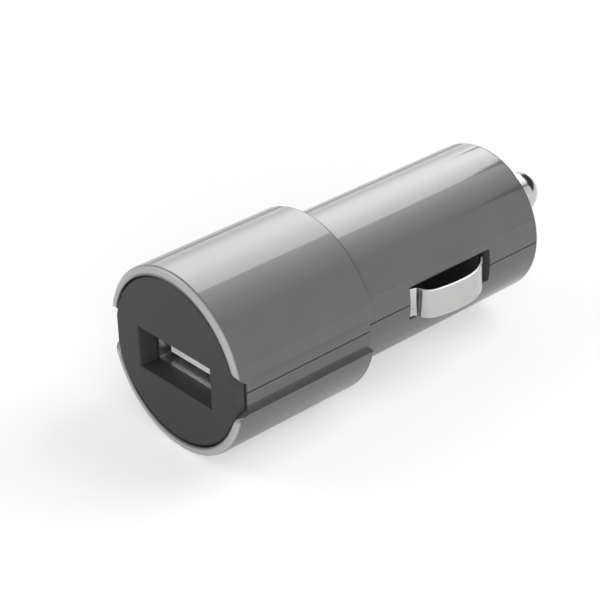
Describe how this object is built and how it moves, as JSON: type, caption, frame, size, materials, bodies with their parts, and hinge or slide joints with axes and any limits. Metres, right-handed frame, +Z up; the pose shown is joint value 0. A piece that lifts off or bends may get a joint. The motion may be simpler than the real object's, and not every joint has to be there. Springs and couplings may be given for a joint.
{
  "type": "car usb charger plug",
  "caption": "Round plug charger for a vehicle power socket: stepped two-part housing, USB port in its face, sprung tip contact and bowed ground leaves.",
  "frame": {"origin": "on the floor under the middle of the plug, which lies on the belly of its head", "axes": "+Y along the plug from the port to the sprung tip, +Z up, +X to the right seen from the port"},
  "size_m": [0.0256, 0.0626, 0.0246],
  "materials": {
    "upper_shell": "moulded dark grey, polished",
    "lower_shell": "moulded dark grey, polished",
    "face_insert": "moulded near-black, satin",
    "usb_shell": "bright tinned steel sheet",
    "usb_tongue": "moulded white, satin",
    "usb_contact_1": "gold-flashed",
    "usb_contact_2": "gold-flashed",
    "usb_contact_3": "gold-flashed",
    "usb_contact_4": "gold-flashed",
    "circuit_board": "green resin board, satin",
    "inductor_core": "ferrite, matt",
    "inductor_winding": "enamelled copper wire",
    "input_capacitor": "drawn can",
    "output_capacitor": "drawn can",
    "controller_chip": "moulded epoxy with tinned legs",
    "rectifier_diode": "moulded epoxy with tinned ends",
    "chip_resistor_1": "coated ceramic with tinned ends",
    "chip_resistor_2": "coated ceramic with tinned ends",
    "ceramic_capacitor": "fired ceramic with tinned ends",
    "tip_contact": "nickel plated, polished",
    "tip_spring": "drawn spring wire",
    "spring_cup": "nickel plated, formed",
    "ground_leaf_right": "nickel plated spring strip",
    "ground_leaf_left": "nickel plated spring strip",
    "positive_wire": "red insulation"
  },
  "bodies": {
    "housing": {"upper_shell": "upper_shell", "lower_shell": "lower_shell", "face_insert": "face_insert", "usb_shell": "usb_shell", "usb_tongue": "usb_tongue", "usb_contact_1": "usb_contact_1", "usb_contact_2": "usb_contact_2", "usb_contact_3": "usb_contact_3", "usb_contact_4": "usb_contact_4", "circuit_board": "circuit_board", "inductor_core": "inductor_core", "inductor_winding": "inductor_winding", "input_capacitor": "input_capacitor", "output_capacitor": "output_capacitor", "controller_chip": "controller_chip", "rectifier_diode": "rectifier_diode", "chip_resistor_1": "chip_resistor_1", "chip_resistor_2": "chip_resistor_2", "ceramic_capacitor": "ceramic_capacitor", "tip_spring": "tip_spring", "spring_cup": "spring_cup", "positive_wire": "positive_wire"},
    "tip": {"tip_contact": "tip_contact"},
    "right_leaf": {"ground_leaf_right": "ground_leaf_right"},
    "left_leaf": {"ground_leaf_left": "ground_leaf_left"}
  },
  "joints": [
    {"name": "tip_slide", "type": "slide", "parent": "housing", "child": "tip", "axis": [0, -1, 0], "range_m": [0, 0.0025], "stiffness_N_per_m": 800, "springref_m": -0.002, "deforming": ["tip_spring"]},
    {"name": "right_leaf_press", "type": "slide", "parent": "housing", "child": "right_leaf", "axis": [-1, 0, 0], "range_m": [0, 0.0023], "stiffness_N_per_m": 1500, "springref_m": -0.001},
    {"name": "left_leaf_press", "type": "slide", "parent": "housing", "child": "left_leaf", "axis": [1, 0, 0], "range_m": [0, 0.0023], "stiffness_N_per_m": 1500, "springref_m": -0.001}
  ]
}
